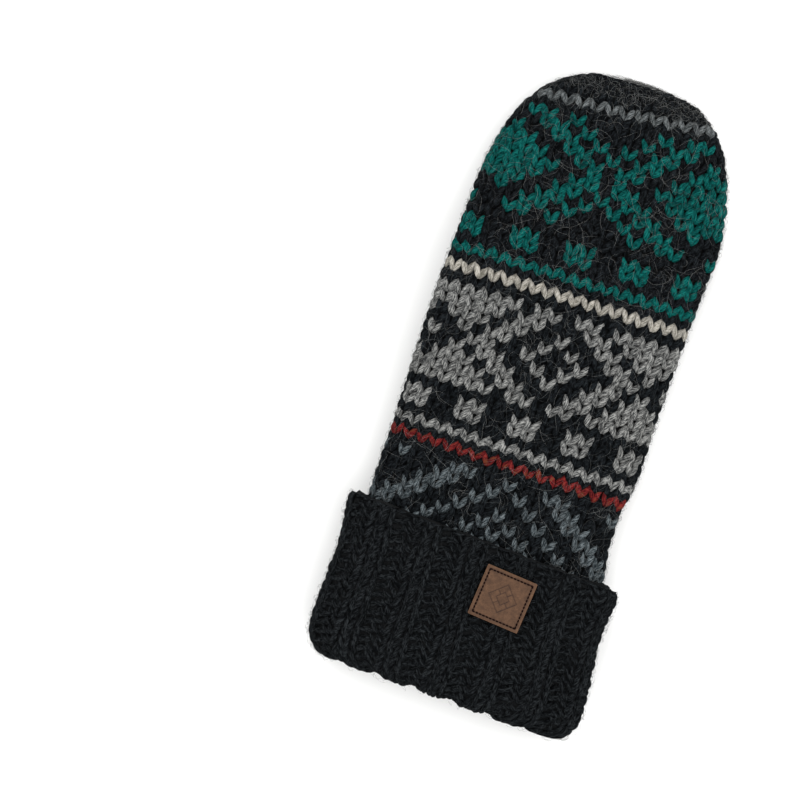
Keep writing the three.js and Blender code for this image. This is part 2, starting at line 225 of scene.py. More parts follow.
# Where the rows lie. They count from the cream one, up to the cuff and down to the fingertips.
ROW_LINE = table(
    "row y",
    (-24, 253.8),
    (-19, 232.5),
    (-17, 225.2),
    (-7, 186.3),
    (-5, 176.8),
    (-4, 172.9),
    (-2, 165.9),
    (0, 158.6),
    (2, 150.4),
    (10, 116.7),
    (12, 108.7),
    (13, 104.6),
    (15, 97.5),
    (17, 91.8),
    (19, 84.6),
    (28, 49.0),
)

# Charts by the distance from the centre column, X for the colour and . for black. A chart repeats mirrored
# past its last column. The teal and the grey one count rows from their band's middle, the blue one from its
# first row.
TEAL_MIDDLE, GREY_MIDDLE, BLUE_FIRST = -12, 6, 19
PLAIN_ROWS = {-19: "slate", -2: "teal", 0: "cream", 15: "grey", 17: "red"}
SQUARE_ROWS = {-5: "teal", -4: "teal", 12: "grey", 13: "grey"}
CHART_LAST = 9
TEAL_BAND = [
    ".X..XXXXXX",
    ".XX..XXXXX",
    "X.XX..XXXX",
    ".X.XX..X..",
    "..X.XX....",
    "...X.XX..X",
]
GREY_BAND = [
    "..X..XX..X",
    ".X..XX.X..",
    "X..XX.XXX.",
    "..XX.XXXXX",
    ".XX.XXXXXX",
]
BLUE_BAND = [
    "X..XX...X.",
    ".X..XX....",
    "..X..XX...",
    "X..X..XX..",
    ".X..X..XX.",
    "X.X..X..XX",
    ".X.X..X..X",
    "X.X.X..X..",
]

# How thick each yarn lies, next to one of plain size
THICKNESS = {
    "black": 1.04, "teal": 1.1, "grey": 1.12, "slate": 1.0, "blue": 1.04, "cream": 0.98, "red": 0.95,
}

# Turns of the yarn in a millimetre, how close its streaks lie along and round it, how the stitches differ in
# tone, and the painted shade that darkens them from their top down to their sides
TWIST = 0.09
STREAKS_ALONG, STREAKS_ROUND = 0.75, 17.0
TONE_LOW, TONE_RANGE = 0.83, 0.34
SIDE_PAINTED_SHADE = {"From Min": 0.17, "From Max": 0.36, "To Min": 1.0, "To Max": 0.35}

# Dark, middle and light fibres of each yarn, and its flecks, from 0 to 255 as a picture shows them
YARN_COLOURS = {
    "black": ((4, 5, 6), (11, 13, 15), (32, 36, 39)),
    "cuff": ((3, 4, 5), (13, 15, 17), (40, 43, 45)),
    "teal": ((1, 41, 40), (4, 71, 68), (20, 99, 92)),
    "grey": ((41, 42, 43), (94, 95, 94), (150, 150, 147)),
    "slate": ((38, 41, 42), (70, 74, 75), (112, 116, 117)),
    "blue": ((24, 29, 32), (56, 63, 66), (104, 111, 114)),
    "cream": ((104, 101, 92), (149, 145, 136), (180, 176, 167)),
    "red": ((52, 12, 14), (92, 25, 28), (124, 44, 40), (100, 50, 34)),
}

# Loose fibres: how many, how long, how far they stand out, how thick, in how many steps and how curled.
# On the cuff, whose places across count columns, this part of a column stands for a millimetre.
FIBRES = {
    "back_fibres": (1700, 13.0, 1.4, 0.025, 9, 0.27),
    "back_fuzz": (3400, 4.2, 1.7, 0.036, 5, 0.6),
    "tip_fuzz": (650, 6.0, 1.6, 0.028, 6, 0.5),
    "palm_fuzz": (1200, 4.0, 1.4, 0.036, 5, 0.6),
    "cuff_fibres": (700, 8.0, 2.0, 0.028, 8, 0.35),
    "cuff_fuzz": (2400, 4.0, 2.0, 0.036, 5, 0.6),
}
FIBRE_UNIT = 0.2

# Where the fibres start: from and to across, then from and to along
WHOLE_HAND = (-58, 58, 58, 246)
TIP_ONLY = (-34, 34, 236, 254)
WHOLE_CUFF = (0, RIB_COLUMNS, -1, 62)

# Spacing and reach of the cloths, and how far the thumb's goes past its crotch and its side edges
STATION_STEP = 1.5
HAND_REACH = 75
THUMB_REACH = 60
THUMB_ROOT = 4
THUMB_WRAP = 9.0


def clamp01(t):
    return np.clip(t, 0.0, 1.0)


def mix(a, b, t):
    return a + (b - a) * t


def ease(t):
    t = clamp01(t)
    return t * t * (3 - 2 * t)


def directions(vectors):
    """The same vectors with a length of one."""
    return vectors / np.maximum(np.linalg.norm(vectors, axis=-1, keepdims=True), 1e-9)


def column_at(rows, key, column, place):
    """Smooth value of one column of a table at a place, without overshoot between its rows."""
    places = [row[key] for row in rows]
    values = [row[column] for row in rows]
    slopes = np.diff(values) / np.diff(places)
    last = len(rows) - 1
    i = int(np.clip(np.searchsorted(places, place) - 1, 0, last - 1))

    def bend(k):
        if k in (0, last):
            return slopes[min(k, last - 1)]
        return 0.0 if slopes[k - 1] * slopes[k] <= 0 else (slopes[k - 1] + slopes[k]) / 2

    step = places[i + 1] - places[i]
    t = float(clamp01((place - places[i]) / step))
    inner = t * (1 - t) * ((1 - t) * bend(i) - t * bend(i + 1)) * step
    return mix(values[i], values[i + 1], t * t * (3 - 2 * t)) + inner


def hand_sections():
    """The hand's sections in millimetres, the two inside the cuff worked out from the cuff."""
    wrist_half = CUFF_WIDTH / 2 - SOLID_RIB_HALF - CUFF_WALL - SIDE_SLACK
    wrist_rise = CUFF_THICKNESS / 2 - SOLID_RIB_HALF - CUFF_WALL - CUFF_SLACK
    rows = []
    for y in (HAND_START, CUFF_TOP + 2 * CUFF_SLACK):
        rows.append(dict(
            y=y, left=wrist_half - CUFF_LINE, right=wrist_half + CUFF_LINE, left_side=CUFF_THICKNESS / 2,
            right_side=CUFF_THICKNESS / 2, rise=wrist_rise, sink=2 * wrist_rise / CUFF_THICKNESS))
    for row in HAND_TABLE:
        rows.append(dict(
            y=mix(CUFF_TOP, HAND_END, row["along"]), left=row["left"] * HAND_WIDTH,
            right=row["right"] * HAND_WIDTH, right_side=row["side"] * HAND_THICKNESS,
            left_side=row["side"] * HAND_THICKNESS + row["lift"] * THUMB_THICKNESS,
            rise=row["rise"] * HAND_THICKNESS, sink=row["sink"]))
    return rows


SECTIONS = hand_sections()
TIP_START = HAND_END - TIP_LENGTH


def drape_height(x, y):
    """How far the palm lies raised over the folded thumb."""
    along = (y - CROTCH) / THUMB_LENGTH
    right = column_at(THUMB_TABLE, "along", "right", float(clamp01(along)))
    edge = THUMB_LINE + right * THUMB_WIDTH
    beside = 1 - ease((x - edge + DRAPE_OVER) / DRAPE_RUN)
    beyond = 1 - ease((y - CROTCH - THUMB_LENGTH + DRAPE_OVER) / DRAPE_RUN)
    past = clamp01((y - CROTCH + CROTCH_RUN) / CROTCH_RUN)
    return (THUMB_THICKNESS + GAP) * beside * beyond * past


def hand_outline(y):
    """Closed outline of the hand: over the back from the little finger's side, then under the palm."""
    at = {name: column_at(SECTIONS, "y", name, y) for name in SECTIONS[0] if name != "y"}
    into_tip = float(clamp01((y - TIP_START) / TIP_LENGTH))
    taper = (1 - into_tip ** 2) ** (1 / TIP_BLUNTNESS)
    thin = math.sqrt(1 - into_tip ** TIP_FULLNESS)
    left = max(TIP_FLAT / 2, mix(-TIP_OFFSET, at["left"], taper))
    right = max(TIP_FLAT / 2, mix(TIP_OFFSET, at["right"], taper))
    middle = (right - left) / 2 if taper == 1 else mix(TIP_OFFSET, (right - left) / 2, taper)
    steps = 360
    angle = np.pi * np.arange(2 * steps) / steps
    x = middle + (left + right) / 2 * np.cos(angle)
    side = mix(at["right_side"], at["left_side"], (1 - np.cos(angle)) / 2)
    bulge = np.abs(np.sin(angle)) ** FULLNESS
    over = side + max(GAP / 2, at["rise"] * thin) * bulge
    plain = np.maximum(side - np.maximum(GAP / 2, side * at["sink"] * thin) * bulge, 0)
    under = np.maximum(plain, np.minimum(drape_height(x, y), side - GAP / 2))
    return np.stack([x, np.where(angle <= np.pi, over, under)], axis=1), steps


def thumb_outline(y):
    """Closed outline of the thumb, from its side by the palm's middle, over its top and back beneath."""
    along = float(clamp01((y - CROTCH) / THUMB_LENGTH))
    t = float(clamp01((along * THUMB_LENGTH - THUMB_LENGTH + THUMB_TIP_LENGTH) / THUMB_TIP_LENGTH))
    taper = (1 - t * t) ** (1 / THUMB_TIP_BLUNTNESS)
    left, right = (
        max(THUMB_TIP_FLAT / 2, column_at(THUMB_TABLE, "along", side, along) * THUMB_WIDTH * taper)
        for side in ("left", "right"))
    thin = math.sqrt(max(0.0, 1 - t ** THUMB_TIP_FULLNESS))
    steps = 240
    angle = np.pi * np.arange(2 * steps) / steps
    bulge = np.sign(np.sin(angle)) * np.abs(np.sin(angle)) ** FULLNESS
    x = THUMB_LINE + (right - left) / 2 + (left + right) / 2 * np.cos(angle)
    return np.stack([x, THUMB_THICKNESS / 2 * (1 + max(0.02, thin) * bulge)], axis=1), steps


def centre_x(y):
    """Where the pattern's centre column lies at a height."""
    return column_at(CENTRE_LINE, "y", "x", y)


def wrap_at(y):
    """How far the back wraps under the little finger's side."""
    return BACK_WRAP * (1 - float(ease((y - CUFF_TOP) / (TIP_START - CUFF_TOP))))


def cuff_outline(depth, y):
    """Closed outline of the cuff at a depth below its outer face, without its ribs."""
    slack = float(clamp01((depth - CUFF_WALL) / CUFF_SLACK)) * (SIDE_SLACK - CUFF_SLACK)
    waist = CUFF_WAIST * math.sin(math.pi * float(clamp01(y / CUFF_TOP)) ** WAIST_RAISE) ** 2
    at_fold = FOLD_TUCK * float(1 - clamp01(y / FOLD_TUCK_RUN)) ** 2
    at_top = EDGE_TUCK * float(1 - clamp01((CUFF_TOP - y) / EDGE_TUCK_RUN)) ** 2
    half = CUFF_WIDTH / 2 - SOLID_RIB_HALF - waist - at_fold - at_top - depth - slack
    tall = CUFF_THICKNESS / 2 - SOLID_RIB_HALF - depth
    steps = 480
    angle = np.pi * np.arange(2 * steps) / steps
    bulge = np.sign(np.sin(angle)) * np.abs(np.sin(angle)) ** FULLNESS
    return np.stack([CUFF_LINE + half * np.cos(angle), CUFF_THICKNESS / 2 + tall * bulge], axis=1)


def lean(x, y):
    """The cuff and wrist lean aside: their edges drop towards the little finger, the fold a little less."""
    share = clamp01((LEAN_TOP - y) / (LEAN_TOP - CUFF_TOP))
    in_cuff = mix(FOLD_LEAN, 1.0, clamp01(y / CUFF_TOP))
    return y - (x - CUFF_LINE) * LEAN_SLOPE * share * share * in_cuff


def arc_lengths(outline):
    steps = np.linalg.norm(np.roll(outline, -1, axis=0) - outline, axis=1)
    return np.concatenate([[0.0], np.cumsum(steps)])


def at_arcs(outline, lengths, arcs):
    """Points of a closed outline at distances measured along it."""
    closed = np.concatenate([outline, outline[:1]])
    wrapped = np.mod(arcs, lengths[-1])
    return np.stack([np.interp(wrapped, lengths, closed[:, k]) for k in (0, 1)], axis=1)


class Cloth:
    """A knitted surface: a grid of points over rows (mm along) and places across, with outward normals."""

    def __init__(self, rows, across, points):
        self.rows = np.asarray(rows, float)
        self.across = np.asarray(across, float)
        self.points = points
        along = np.gradient(points, self.rows, axis=0)
        side = np.gradient(points, self.across, axis=1)
        self.normals = directions(np.cross(side, along))

    def sample(self, grid, across, along):
        i = np.interp(along, self.rows, np.arange(len(self.rows)))
        j = np.interp(across, self.across, np.arange(len(self.across)))
        i0 = np.minimum(i.astype(int), len(self.rows) - 2)
        j0 = np.minimum(j.astype(int), len(self.across) - 2)
        a = (i - i0)[..., None]
        b = (j - j0)[..., None]
        low = mix(grid[i0, j0], grid[i0, j0 + 1], b)
        high = mix(grid[i0 + 1, j0], grid[i0 + 1, j0 + 1], b)
        return mix(low, high, a)

    def place(self, across, along, height):
        """Points above the surface, pressed flat where they would sink into what it lies on."""
        normal = directions(self.sample(self.normals, across, along))
        points = self.sample(self.points, across, along) + normal * height[..., None]
        points[..., 2] = np.maximum(points[..., 2], 0.0)
        return points


def stations(start, end, tip_length, step):
    """Places along a piece, closer together where its tip rounds off."""
    body = np.arange(start, end - tip_length, step)
    tip = np.sin(np.linspace(0, np.pi / 2, 56)[:-1])
    return np.concatenate([body, end - tip_length + tip_length * tip])


def tube_cloth(outline_at, places, origin_x, under, reach):
    """Cloth around a tube. Its places across are measured from a line over the back or under the palm.

    Over the back they grow to the right, and under the palm to the left. Returns the cloth and, for each
    station, how far the side edge lies on the lower and on the higher side of the line.
    """
    across = np.arange(-reach, reach + 0.5, 1.0)
    grid, edges, centres = [], [], []
    for y in places:
        outline, turn = outline_at(y)
        lengths = arc_lengths(outline)
        half = outline[turn:] if under else outline[:turn + 1]
        index = int(np.argmin(np.abs(half[:, 0] - origin_x(y)))) + (turn if under else 0)
        start = lengths[index]
        points = at_arcs(outline, lengths, start - across)
        x, z = points[:, 0], points[:, 1]
        grid.append(np.stack([x, lean(x, y), z], axis=1))
        centres.append([y, outline[index][1]])
        low = lengths[-1] - start if under else lengths[turn] - start
        high = start - lengths[turn] if under else start
        edges.append([low, high])
    centres = np.array(centres)
    steps = np.diff(centres, axis=0)
    run = np.where(centres[1:, 0] > TIP_START, np.hypot(steps[:, 0], steps[:, 1]), steps[:, 0])
    rows = places[0] + np.concatenate([[0.0], np.cumsum(run)])
    return Cloth(rows, across, np.array(grid)), np.array(edges)


def cuff_cloth():
    """Cloth of the cuff from its free edge down the outside, round the fold and up the inside.

    Its places across count rib columns. The ribs stand out on both faces.
    """
    path = [(0.0, y) for y in np.arange(CUFF_TOP - 1.0, FOLD_RADIUS, -2.0)]
    for angle in np.linspace(0, np.pi, 15):
        path.append((FOLD_RADIUS * (1 - math.cos(angle)), FOLD_RADIUS * (1 - math.sin(angle))))
    path += [(LAYERS_DEEP, y) for y in np.arange(FOLD_RADIUS + 2.0, HAND_START, 2.0)]
    path = np.array(path)
    rows = np.concatenate([[0.0], np.cumsum(np.linalg.norm(np.diff(path, axis=0), axis=1))])
    columns = np.arange(-6.0, RIB_COLUMNS + 6.25, 0.25)
    grid = []
    for depth, y in path:
        outline = cuff_outline(depth, y)
        lengths = arc_lengths(outline)
        share = lengths[-1] / RIB_COLUMNS
        start = RIB_START * lengths[-1] / arc_lengths(cuff_outline(0.0, y))[-1]
        points = at_arcs(outline, lengths, start + columns * share)
        grid.append(np.stack([points[:, 0], lean(points[:, 0], y), points[:, 1]], axis=1))
    return Cloth(rows, columns, np.array(grid)), path


def origin_in_model():
    """Where the working frame's origin lies in the model, found from the patch."""
    low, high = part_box("patch")
    x, y = PATCH_PLACE
    centre = (low + high) / 2
    return np.array([centre.x / MM - x, centre.y / MM - float(lean(x, y)), 0.0])


ORIGIN = origin_in_model()


def to_model(points):
    return (np.asarray(points) + ORIGIN) * MM


def add_object(name, data):
    item = bpy.data.objects.new(name, data)
    bpy.context.scene.collection.objects.link(item)
    return item


def make_piece(name, points, faces, material, replaced=(), yarn=None):
    """A mesh piece that rides on the mitten. Faces are one array of equally long rows, or a list of them."""
    mesh = bpy.data.meshes.new(name)
    groups = faces if isinstance(faces, list) else [faces]
    loops = np.concatenate([group.reshape(-1) for group in groups]).astype(np.int32)
    totals = np.concatenate([np.full(len(group), group.shape[1]) for group in groups]).astype(np.int32)
    starts = np.concatenate([[0], np.cumsum(totals)[:-1]]).astype(np.int32)
    mesh.vertices.add(len(points))
    mesh.vertices.foreach_set("co", to_model(points).astype(np.float32).reshape(-1))
    mesh.loops.add(len(loops))
    mesh.loops.foreach_set("vertex_index", loops)
    mesh.polygons.add(len(totals))
    mesh.polygons.foreach_set("loop_start", starts)
    mesh.update(calc_edges=True)
    mesh.polygons.foreach_set("use_smooth", np.ones(len(totals), bool))
    if yarn is not None:
        attribute = mesh.attributes.new("yarn", "FLOAT_VECTOR", "POINT")
        attribute.data.foreach_set("vector", yarn.astype(np.float32).reshape(-1))
    mesh.materials.append(material)
    piece = add_object(name, mesh)
    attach(piece, "root")
    if replaced:
        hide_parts(*replaced)


def ring_quads(rings, sides):
    """Faces between the rings of a strand."""
    low = sides * np.arange(rings - 1)[:, None]
    c = np.arange(sides)[None, :]
    n = (c + 1) % sides
    return np.stack([low + c, low + n, low + sides + n, low + sides + c], axis=-1).reshape(-1, 4)


def strand_template(curve, width, depth, rings, sides):
    """A closed strand of yarn. curve gives (across, along, height) for shares 0 to 1 of its length."""
    t = (np.arange(rings) + 0.5) / rings
    centre = np.array([curve(share) for share in t])
    ends = np.array([curve(0.0), curve(1.0)])
    tangent = directions(np.gradient(centre, axis=0))
    side = directions(np.cross(tangent, [0.0, 0.0, 1.0]))
    normal = np.cross(side, tangent)
    angle = 2 * np.pi * np.arange(sides) / sides - np.pi / 2
    fat = np.sin(np.pi * (0.06 + 0.88 * t)) ** 0.45
    points = (
        centre[:, None, :]
        + side[:, None, :] * (np.cos(angle)[None, :] * (width * fat)[:, None])[..., None]
        + normal[:, None, :] * (np.sin(angle)[None, :] * (depth * fat)[:, None])[..., None]
    )
    length = np.linalg.norm(np.diff(centre, axis=0), axis=1).sum()
    along = np.repeat(t[:, None] * length, sides, axis=1)
    around = np.repeat((np.arange(sides) / sides)[None, :], rings, axis=0)
    points = np.concatenate([points.reshape(-1, 3), ends])
    yarn = np.stack([along.reshape(-1), around.reshape(-1)], axis=1)
    yarn = np.concatenate([yarn, [[0.0, 0.5], [length, 0.5]]])
    first, last = rings * sides, rings * sides + 1
    tips = [[(c + 1) % sides, c, first] for c in range(sides)]
    base = (rings - 1) * sides
    tips += [[base + c, base + (c + 1) % sides, last] for c in range(sides)]
    return dict(points=points, yarn=yarn, quads=ring_quads(rings, sides), tips=np.array(tips))


def arch(base, rise, start, end, t):
    """Height of a strand that arches up out of the fabric and back, over part of a half circle."""
    return base + rise * math.sin(math.pi * mix(start, end, t)) ** ARCH_ROUNDNESS


def leg_curve(turn):
    """One leg of a knit stitch: from the V's foot up and outwards. turn is -1 for the left leg."""

    def curve(t):
        return turn * (0.3 + 2.25 * t), mix(-3.1, 2.8, t), arch(-1.3, 1.35, 0.12, 0.9, t)

    return curve


def purl_curve(turn):
    """One bump of a purl stitch: a short arch across the column, slanting up to one side."""

    def curve(t):
        along = turn * mix(-1.3, 1.1, t) + 0.7 * math.sin(math.pi * t)
        return mix(-2.1, 2.1, t), along, arch(-1.35, 1.35, 0.08, 0.92, t)

    return curve


def edge_curve(t):
    """One loop of the cuff's free edge, lying along the edge."""
    return mix(-3.1, 3.1, t), mix(-0.9, 0.9, t), arch(-0.9, 1.3, 0.1, 0.9, t)


class Strands:
    """Collects copies of strand templates in cloth places, and gives them as one mesh."""

    def __init__(self):
        self.points, self.yarn, self.quads, self.tips = [], [], [], []
        self.count = 0

    def add(self, cloth, template, across, along, unit=1.0, height=0.0, grow=1.0, turn=0.0):
        """Adds a copy at each place. unit turns millimetres across into the cloth's own places."""
        total = len(across)
        if total == 0:
            return
        grow = np.broadcast_to(grow, total)[:, None]
        turn = np.broadcast_to(turn, total)[:, None]
        local = template["points"]
        a = local[None, :, 0] * np.cos(turn) - local[None, :, 1] * np.sin(turn)
        b = local[None, :, 0] * np.sin(turn) + local[None, :, 1] * np.cos(turn)
        h = local[None, :, 2] * grow + np.broadcast_to(height, total)[:, None]
        placed = cloth.place(
            np.asarray(across)[:, None] + a * grow * unit, np.asarray(along)[:, None] + b, h)
        size = len(local)
        offset = self.count + size * np.arange(total)[:, None, None]
        seeds = np.repeat(random.random(total)[:, None], size, axis=1)
        yarn = np.repeat(template["yarn"][None], total, axis=0)
        self.points.append(placed.reshape(-1, 3))
        self.yarn.append(np.concatenate([yarn, seeds[..., None]], axis=2).reshape(-1, 3))
        self.quads.append((template["quads"][None] + offset).reshape(-1, 4))
        self.tips.append((template["tips"][None] + offset).reshape(-1, 3))
        self.count += size * total

    def piece(self, name, material, slot):
        points = np.concatenate(self.points)
        faces = [np.concatenate(self.quads), np.concatenate(self.tips)]
        make_piece(name, points, faces, material, yarn=np.concatenate(self.yarn))


def chart_has(chart_row, column):
    """Whether a chart's row has its colour in a column of the back."""
    k = abs(column - CENTRE_COLUMN)
    return chart_row[2 * CHART_LAST - k if k > CHART_LAST else k] == "X"


def colour_at(row, column):
    """The yarn of a stitch on the back. Rows count up to the wrist from the cream one."""
    if row in PLAIN_ROWS:
        return PLAIN_ROWS[row]
    if row in SQUARE_ROWS:
        return SQUARE_ROWS[row] if column % 4 < 2 else "black"
    for colour, chart, place in (
            ("teal", TEAL_BAND, abs(row - TEAL_MIDDLE)), ("grey", GREY_BAND, abs(row - GREY_MIDDLE)),
            ("blue", BLUE_BAND, row - BLUE_FIRST)):
        if 0 <= place < len(chart) and chart_has(chart[place], column):
            return colour
    return "black"


def straight_at(rows, key, column, place):
    """Value of one column of a table at a place, in straight lines between its rows."""
    return float(np.interp(place, [row[key] for row in rows], [row[column] for row in rows]))


def column_place(column, y):
    side = "left" if column < CENTRE_COLUMN else "right"
    return (column - CENTRE_COLUMN) * COLUMN * straight_at(SPREAD, "y", side, y)


def row_rise(across, y):
    """How far a row of the back lies above its place, as the rows tilt towards the tip."""
    share = ease((y - TIP_TILT_START) / (TIP_TILT_FULL - TIP_TILT_START))
    return share * (TIP_TILT * across + TIP_BOW * across * across)


def leg_templates(rings, sides):
    return [strand_template(leg_curve(turn), YARN, YARN * LEG_DEPTH, rings, sides) for turn in (-1, 1)]


def knit_legs(strands, cloth, legs, across, y, size=1.0):
    """Adds both legs of the stitches in a row, each a little astray."""
    total = len(across)
    for leg in legs:
        strands.add(
            cloth, leg,
            across + random.normal(0, STRAY_ACROSS, total),
            y + random.normal(0, STRAY_ALONG, total),
            height=random.normal(-STITCH_SINK, STRAY_HEIGHT, total),
            grow=size + random.normal(0, STRAY_SIZE, total),
            turn=random.normal(0, STRAY_TURN, total))


def knit_back(cloth, edges):
    """The patterned stitches of the back, one mesh of strands for each colour of yarn."""
    legs = leg_templates(8, 8)
    yarns = {}
    for row in range(ROW_LINE[0]["row"], ROW_LINE[-1]["row"]):
        line = straight_at(ROW_LINE, "row", "y", row)
        places = {}
        for column in range(-4, 24):
            across = column_place(column, line)
            y = line + row_rise(across, line)
            to_left = np.interp(y, cloth.rows, edges[:, 0])
            to_right = np.interp(y, cloth.rows, edges[:, 1]) + wrap_at(y)
            past = PAST_EDGE if y < TIP_SEAM_START else 0.0
            if not HAND_START + 1 <= y <= cloth.rows[-1] - TIP_SEAM_SHORT / 2:
                continue
            if -to_left - past <= across <= to_right + past:
                places.setdefault(colour_at(row, column), []).append((across, y))
        for colour, spots in places.items():
            across, y = np.array(spots).T
            knit_legs(yarns.setdefault(colour, Strands()), cloth, legs, across, y, THICKNESS[colour])
    return yarns


def knit_tip_seam(cloth, edges, strands):
    """Grafted stitches over the edge of the fingertips, where the back meets the palm."""
    rows = np.linspace(TIP_SEAM_START, cloth.rows[-1] - TIP_SEAM_SHORT, 200)
    left = np.stack([-np.interp(rows, cloth.rows, edges[:, 0]), rows], axis=1)
    right = np.stack([np.interp(rows, cloth.rows, edges[:, 1]), rows], axis=1)
    line = np.concatenate([left, right[::-1]])
    lengths = np.concatenate([[0.0], np.cumsum(np.linalg.norm(np.diff(line, axis=0), axis=1))])
    places = np.arange(0.0, lengths[-1], TIP_SEAM_STEP)
    (across, along), (ahead, up) = (
        [np.interp(spots, lengths, line[:, k]) for k in (0, 1)] for spots in (places, places + 1.0))
    total = len(places)
    strands.add(
        cloth, strand_template(edge_curve, YARN, YARN, 8, 8), across, along,
        height=random.normal(-STITCH_SINK, 0.25, total),
        turn=np.arctan2(up - along, ahead - across) + random.normal(0.4, 0.1, total))


def knit_plain(cloth, edges, first, last, rings, sides, wrap=None):
    """Plain knit stitches in one colour over part of a cloth."""
    legs = leg_templates(rings, sides)
    strands = Strands()
    for y in np.arange(first, last, ROW):
        low = np.interp(y, cloth.rows, edges[:, 0]) - (wrap(y) if wrap else 0.0)
        high = np.interp(y, cloth.rows, edges[:, 1])
        across = (np.arange(-16, 17) + 0.5) * COLUMN
        across = across[(across > -low - PAST_PALM_EDGE) & (across < high + PAST_PALM_EDGE)]
        knit_legs(strands, cloth, legs, across, y)
    return strands


def rib_height(columns):
    """How far the ribs stand out or sink in across the cuff."""
    return RIB_DEPTH / 2 * (np.cos(2 * np.pi * columns / 4) - 0.4)


def knit_cuff(cloth, path):
    """Two by two rib: pairs of knit columns on the crests and of purl columns in the valleys."""
    outer = Strands()
    inner = Strands()
    unit = RIB_COLUMNS / arc_lengths(cuff_outline(0.0, CUFF_TOP / 2))[-1]
    crests = [(offset, leg_curve(turn)) for offset in (-0.5, 0.5) for turn in (-1, 1)]
    valleys = [(1.25, purl_curve(-1)), (1.8, purl_curve(-1)), (2.2, purl_curve(1)), (2.75, purl_curve(1))]
    for along in np.arange(1.5, cloth.rows[-1], CUFF_ROW):
        outside = np.interp(along, cloth.rows, path[:, 0]) < FOLD_RADIUS * 1.2
        strands = outer if outside else inner
        on_crest = (7, 8) if outside else (4, 5)
        in_valley = (6, 6) if outside else (4, 5)
        for stitches, detail, loose, step in (
                (crests, on_crest, STRAY_TURN, 0.0), (valleys, in_valley, 0.2, PURL_STEP * CUFF_ROW)):
            for number, (offset, curve) in enumerate(stitches):
                columns = 4.0 * np.arange(RIBS) + offset
                strands.add(
                    cloth, strand_template(curve, CUFF_YARN, CUFF_YARN, *detail),
                    columns + random.normal(0, 0.04, RIBS),
                    along + step * number + random.normal(0, 0.25, RIBS),
                    unit=unit,
                    height=rib_height(columns) + random.normal(-STITCH_SINK, STRAY_HEIGHT, RIBS),
                    grow=1 + random.normal(0, STRAY_SIZE, RIBS),
                    turn=random.normal(0, loose, RIBS))
    edge = strand_template(edge_curve, YARN, YARN, 8, 8)
    columns = np.arange(RIB_COLUMNS) + 0.5
    outer.add(
        cloth, edge,
        columns + random.normal(0, 0.08, RIB_COLUMNS),
        random.normal(-0.1, 0.3, RIB_COLUMNS),
        unit=unit,
        height=rib_height(columns) + random.normal(-STITCH_SINK - 0.3, 0.15, RIB_COLUMNS),
        turn=random.normal(0, 0.12, RIB_COLUMNS))
    return outer, inner


def ground_from(node, name, cloth, material, deep=GROUND_UNDER_STITCHES):
    """The fabric behind the stitches: the solid's own form, thinner where it carries stitches."""
    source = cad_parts[node].data
    points = np.zeros(len(source.vertices) * 3)
    source.vertices.foreach_get("co", points)
    points = points.reshape(-1, 3)
    source.calc_loop_triangles()
    corners = np.array([t.vertices[:] for t in source.loop_triangles])
    rounded = np.round(points / MM, 3)
    _, index, inverse = np.unique(rounded, axis=0, return_index=True, return_inverse=True)
    corners = inverse.reshape(-1)[corners]
    corners = corners[(corners[:, 0] != corners[:, 1]) & (corners[:, 1] != corners[:, 2])
                      & (corners[:, 2] != corners[:, 0])]
    points = points[index] / MM
    a, b, c = (points[corners[:, k]] for k in range(3))
    normal = np.cross(b - a, c - a)
    sums = np.zeros_like(points)
    for k in range(3):
        np.add.at(sums, corners[:, k], normal)
    points = points - ORIGIN
    spots = cloth.points.reshape(-1, 3)
    tree = KDTree(len(spots))
    for number, spot in enumerate(spots):
        tree.insert(spot, number)
    tree.balance()
    away = np.array([tree.find(point)[2] for point in points])
    depth = np.where(away < GROUND_NEAR, deep, GROUND_BARE)
    make_piece(name, points - directions(sums) * depth[:, None], corners, material, (node,))


def hairs(name, cloth, material, reach, unit=1.0):
    """Loose fibres: thin three-sided strands that wander over a cloth."""
    total, length, lift, thick, steps, curled = FIBRES[name]
    sides = 3
    across = random.uniform(reach[0], reach[1], total)
    along = random.uniform(reach[2], reach[3], total)
    heading = random.uniform(0, 2 * np.pi, total)
    curl = random.normal(0, 0.5 * curled, (total, steps)) + random.normal(0, curled, (total, 1))
    size = length * random.uniform(0.4, 1.3, total) / steps
    a = np.zeros((total, steps))
    b = np.zeros((total, steps))
    a[:, 0], b[:, 0] = across, along
    for k in range(1, steps):
        heading = heading + curl[:, k]
        a[:, k] = a[:, k - 1] + np.cos(heading) * size * unit
        b[:, k] = b[:, k - 1] + np.sin(heading) * size
    t = np.linspace(0, 1, steps)[None, :]
    height = -0.8 + lift * random.uniform(0.5, 1.2, (total, 1)) * np.sin(np.pi * (0.08 + 0.8 * t))
    spine = cloth.place(a, b, np.broadcast_to(height, a.shape))
    tangent = directions(np.gradient(spine, axis=1))
    other = directions(np.cross(tangent, [0.31, 0.22, 0.92]))
    third = np.cross(tangent, other)
    fine = thick * (1 - 0.6 * np.abs(2 * t - 1) ** 3)
    rings = []
    for k in range(sides):
        angle = 2 * np.pi * k / sides
        rings.append(spine + (other * math.cos(angle) + third * math.sin(angle)) * fine[..., None])
    points = np.stack(rings, axis=2).reshape(-1, 3)
    last = (steps - 1) * sides
    tips = np.array([[2, 1, 0], [last, last + 1, last + 2]])
    offset = steps * sides * np.arange(total)[:, None, None]
    faces = [(ring_quads(steps, sides) + offset).reshape(-1, 4), (tips + offset).reshape(-1, 3)]
    seeds = np.repeat(random.random(total), steps * sides)
    yarn = np.stack([np.zeros_like(seeds), np.zeros_like(seeds), seeds], axis=1)
    make_piece(name, points, faces, material, yarn=yarn)


